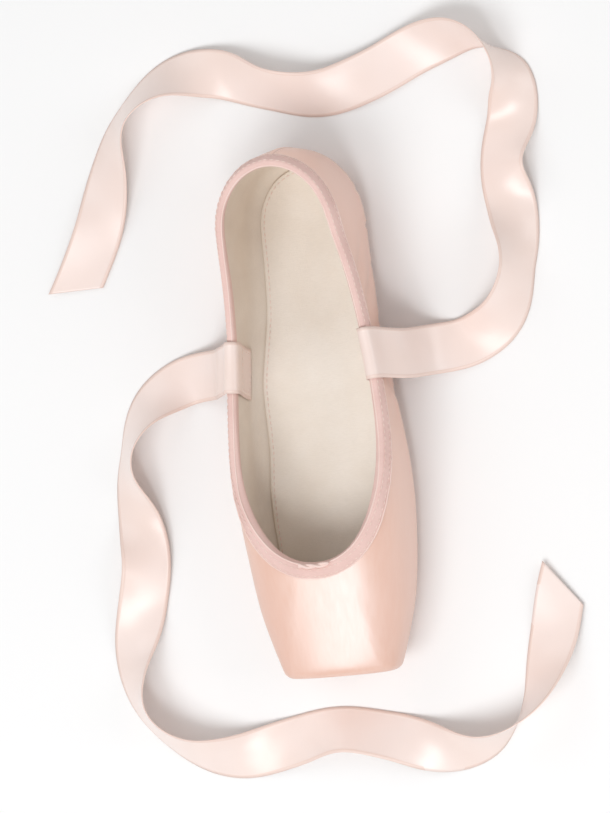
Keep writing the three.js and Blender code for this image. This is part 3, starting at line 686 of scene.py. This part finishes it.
def insoleRows(bm, r):
    tree = nodeTree("insole")

    def under(start, flat, far):
        spot = start + flat * far
        return tree.ray_cast(Vector((spot.x, spot.y, r["high"])), Vector((0, 0, -1)), r["high"])[:2]

    line = []
    for side in (1, -1):
        for around in placesAround(r["columns"], side):
            start, flat = coreRay(around, r["angle"], side)
            flat = Vector((flat.x, flat.y, 0)).normalized()
            near, far = 0, r["longest"]
            for _ in range(r["halvings"]):
                middle = (near + far) / 2
                if under(start, flat, middle)[0]:
                    near = middle
                else:
                    far = middle
            line.append(under(start, flat, near - r["inset"]))
    stitchRow(bm, line + line[:1])


def makeStitches(name, slot, sewRows, look):
    bm = bmesh.new()
    sewRows(bm, look)
    return place(asObject(bm, name, [thread]), slot)


makeStitches("binding_stitches", "binding_tape", bindingRows, rimTrim)
makeStitches("seam_stitches", "satin", seamRows, seamRow)
makeStitches("ribbon_stitches", "ribbon_satin", ribbonRows, sewnBox)
makeStitches("insole_stitches", "sock_cloth", insoleRows, insoleRow)
print("stitches sewn")


# outsole: pale leather with a dark cut edge, scored in plain chevrons under the ball
# wave: where on a sine wave a line begins and is full, stepHalf: half-widths of the pieced edge
soleLook = dict(
    dark=(0.74, 0.54, 0.43), pale=(0.83, 0.64, 0.53), line=(0.50, 0.33, 0.25), edge=(0.42, 0.27, 0.19),
    shade=0.8, rough=(0.6, 0.78), patches=90, grain=2200, levels=2, sharp=0.6, pitch=4.2 * mm, chevron=0.4,
    wave=(0.6, 0.85), front=-88 * mm, back=-22 * mm, half=15 * mm, soft=3 * mm, step=-15 * mm,
    stepHalf=(0.15 * mm, 0.5 * mm), deep=0.3 * mm,
)

# which faces are cut: those that look down, near the scoring, and how flat counts as level
soleCut = dict(margin=2 * mm, down=-0.85, level=-0.99999, bend=0.002, apart=0.01 * mm, pressed=-0.7)


def scoredLines(tree, look):
    parts = node(tree, "ShaderNodeSeparateXYZ")
    tree.links.new(objectPoint(tree, 1), parts.inputs[0])
    x, y = parts.outputs[0], parts.outputs[1]
    across = mathOn(tree, "ABSOLUTE", x)
    run = mathOn(tree, "ADD", y, mathOn(tree, "MULTIPLY", across, look["chevron"]))
    wave = mathOn(tree, "SINE", mathOn(tree, "MULTIPLY", run, 2 * math.pi / look["pitch"]))
    line = span(tree, wave, 0, 1, *look["wave"])
    for value, low, high in (
        (y, look["front"], look["front"] + look["soft"]),
        (y, look["back"], look["back"] - look["soft"]),
        (across, look["half"], look["half"] - look["soft"]),
    ):
        line = mathOn(tree, "MULTIPLY", line, span(tree, value, 0, 1, low, high))
    fromStep = mathOn(tree, "ABSOLUTE", mathOn(tree, "SUBTRACT", run, look["step"]))
    return mathOn(tree, "MAXIMUM", line, span(tree, fromStep, 1, 0, *look["stepHalf"]))


def makeSoleLeather(look):
    mat, tree, shader = newMaterial("soleLeather")
    patches = noiseOn(tree, look["patches"], 5, 0.6)
    plain = ramp(tree, patches, look["dark"], look["pale"])
    line = scoredLines(tree, look)
    scored = mixed(tree, mathOn(tree, "MULTIPLY", line, look["shade"]), plain, look["line"])
    facing = node(tree, "ShaderNodeSeparateXYZ")
    tree.links.new(node(tree, "ShaderNodeNewGeometry").outputs["Normal"], facing.inputs[0])
    cutEdge = span(tree, mathOn(tree, "ABSOLUTE", facing.outputs[2]), look["shade"], 0, 0.45, 0.8)
    tree.links.new(mixed(tree, cutEdge, scored, look["edge"]), shader.inputs["Base Color"])
    tree.links.new(span(tree, patches, *look["rough"]), shader.inputs["Roughness"])
    grain = noiseOn(tree, look["grain"], 3, 0.6)
    pressed = mathOn(tree, "MULTIPLY", line, -1)
    addBump(tree, shader, [(pressed, 0.3, 0.4 * mm), (grain, 0.25, 0.3 * mm)])
    gloss(shader, specular=0.35)
    return mat


# the same lines as in the leather's colour, as a depth from 0 to 1
def scoredAt(p, look):
    run = p.y + look["chevron"] * abs(p.x)
    line = clamped(math.sin(2 * math.pi * run / look["pitch"]), *look["wave"])
    line *= clamped(p.y, look["front"], look["front"] + look["soft"])
    line *= clamped(p.y, look["back"], look["back"] - look["soft"])
    line *= clamped(abs(p.x), look["half"], look["half"] - look["soft"])
    full, none = look["stepHalf"]
    return max(line, clamped(abs(run - look["step"]), none, full))


# planes as (place, normal, side of the shoe or 0 for both, whether the cut stays hard)
def scoringCuts(look):
    begin, full = map(math.asin, look["wave"])
    marks = [begin, full, math.pi - full, math.pi - begin]
    first = math.floor(look["front"] / look["pitch"])
    last = math.ceil((look["back"] + look["chevron"] * look["half"]) / look["pitch"])
    runs = [(k + mark / (2 * math.pi)) * look["pitch"] for k in range(first, last) for mark in marks]
    near, far = look["stepHalf"]
    runs += [look["step"] + off for off in (-far, -near, near, far)]
    cuts = [((side * off, 0, 0), (1, 0, 0), 0, False) for side in (1, -1)
            for off in (0, look["half"] - look["soft"], look["half"])]
    cuts += [((0, y, 0), (0, 1, 0), 0, False) for y in
             (look["front"], look["front"] + look["soft"], look["back"] - look["soft"], look["back"])]
    cuts += [((0, run, 0), (side * look["chevron"], 1, 0), side, True) for side in (1, -1) for run in runs]
    return cuts


def once(items):
    return list(dict.fromkeys(items))


def facesBelow(bm, look, cut, side=0):
    front, back = look["front"] - cut["margin"], look["step"] + cut["margin"]
    middles = ((f, f.calc_center_median()) for f in bm.faces if f.normal.z < cut["down"])
    return [f for f, c in middles if front < c.y < back and c.x * side >= 0]


def pressScoring(obj, look, cut):
    bm = bmesh.new()
    bm.from_mesh(obj.data)
    bm.normal_update()
    flat = [f for f in facesBelow(bm, look, cut) if f.normal.z < cut["level"]]
    level = set(flat)
    inner = once(e for f in flat for e in f.edges if level.issuperset(e.link_faces))
    corners = once(v for e in inner for v in e.verts)
    bmesh.ops.dissolve_limit(bm, angle_limit=cut["bend"], verts=corners, edges=inner)
    for spot, normal, side, sharp in scoringCuts(look):
        faces = facesBelow(bm, look, cut, side)
        geom = faces + once(e for f in faces for e in f.edges) + once(v for f in faces for v in f.verts)
        made = bmesh.ops.bisect_plane(bm, geom=geom, dist=cut["apart"], plane_co=spot, plane_no=normal)
        for e in made["geom_cut"]:
            if sharp and isinstance(e, bmesh.types.BMEdge):
                e.smooth = False
    for v in bm.verts:
        if v.normal.z < cut["pressed"]:
            v.co.z += look["deep"] * scoredAt(v.co, look)
    bm.to_mesh(obj.data)
    bm.free()


leather = makeSoleLeather(soleLook)
outsole = makeCovered("outsole", "leather_outsole", "sole_leather", leather, soleLook["levels"],
                      soleLook["sharp"])
pressScoring(outsole, soleLook, soleCut)
print("sole made")


# floor and soft studio light
studio = dict(floor=(0.95, 0.947, 0.943), floorSize=20, floorShade=0.99, sky=0.45, skyTone=(1, 0.985, 0.975),
              tone=(0.97, 0.985, 1), aim=(0, 0, 0.02))

lights = [
    dict(name="keyLight", at=(0.30, -0.95, 1.95), size=(0.35, 0.9), power=9.5),
    dict(name="glowLight", at=(-0.50, -0.95, 1.9), size=(1.1, 1.0), power=17),
    dict(name="fillLight", at=(-1.2, 1.3, 1.4), size=(1.6, 1.6), power=7),
    dict(name="rimLight", at=(1.4, 0.1, 0.8), size=(0.9, 0.9), power=3.8),
]


def makeFloor(s):
    bm = bmesh.new()
    bmesh.ops.create_grid(bm, x_segments=1, y_segments=1, size=s["floorSize"])
    mat, tree, shader = newMaterial("paleFloor")
    shaded = tuple(c * s["floorShade"] for c in s["floor"])
    tree.links.new(ramp(tree, noiseOn(tree, 3), shaded, s["floor"], high=0.7), shader.inputs["Base Color"])
    shader.inputs["Roughness"].default_value = 0.9
    shader.inputs["Specular IOR Level"].default_value = 0.1
    asObject(bm, "floor", [mat], smooth=False)


def makeLight(lamp, s):
    light = bpy.data.lights.new(lamp["name"], "AREA")
    light.shape, light.energy, light.color = "RECTANGLE", lamp["power"], s["tone"]
    light.size, light.size_y = lamp["size"]
    obj = bpy.data.objects.new(lamp["name"], light)
    scene.collection.objects.link(obj)
    obj.location = lamp["at"]
    obj.rotation_euler = (Vector(s["aim"]) - Vector(lamp["at"])).to_track_quat("-Z", "Y").to_euler()


def makeStudio(s):
    makeFloor(s)
    world = scene.world or bpy.data.worlds.new("studio")
    scene.world = world
    world.use_nodes = True
    back = world.node_tree.nodes["Background"]
    back.inputs["Color"].default_value = (*s["skyTone"], 1)
    back.inputs["Strength"].default_value = s["sky"]
    for lamp in lights:
        makeLight(lamp, s)
    scene.view_settings.view_transform = "Standard"


makeStudio(studio)
print("studio lit")
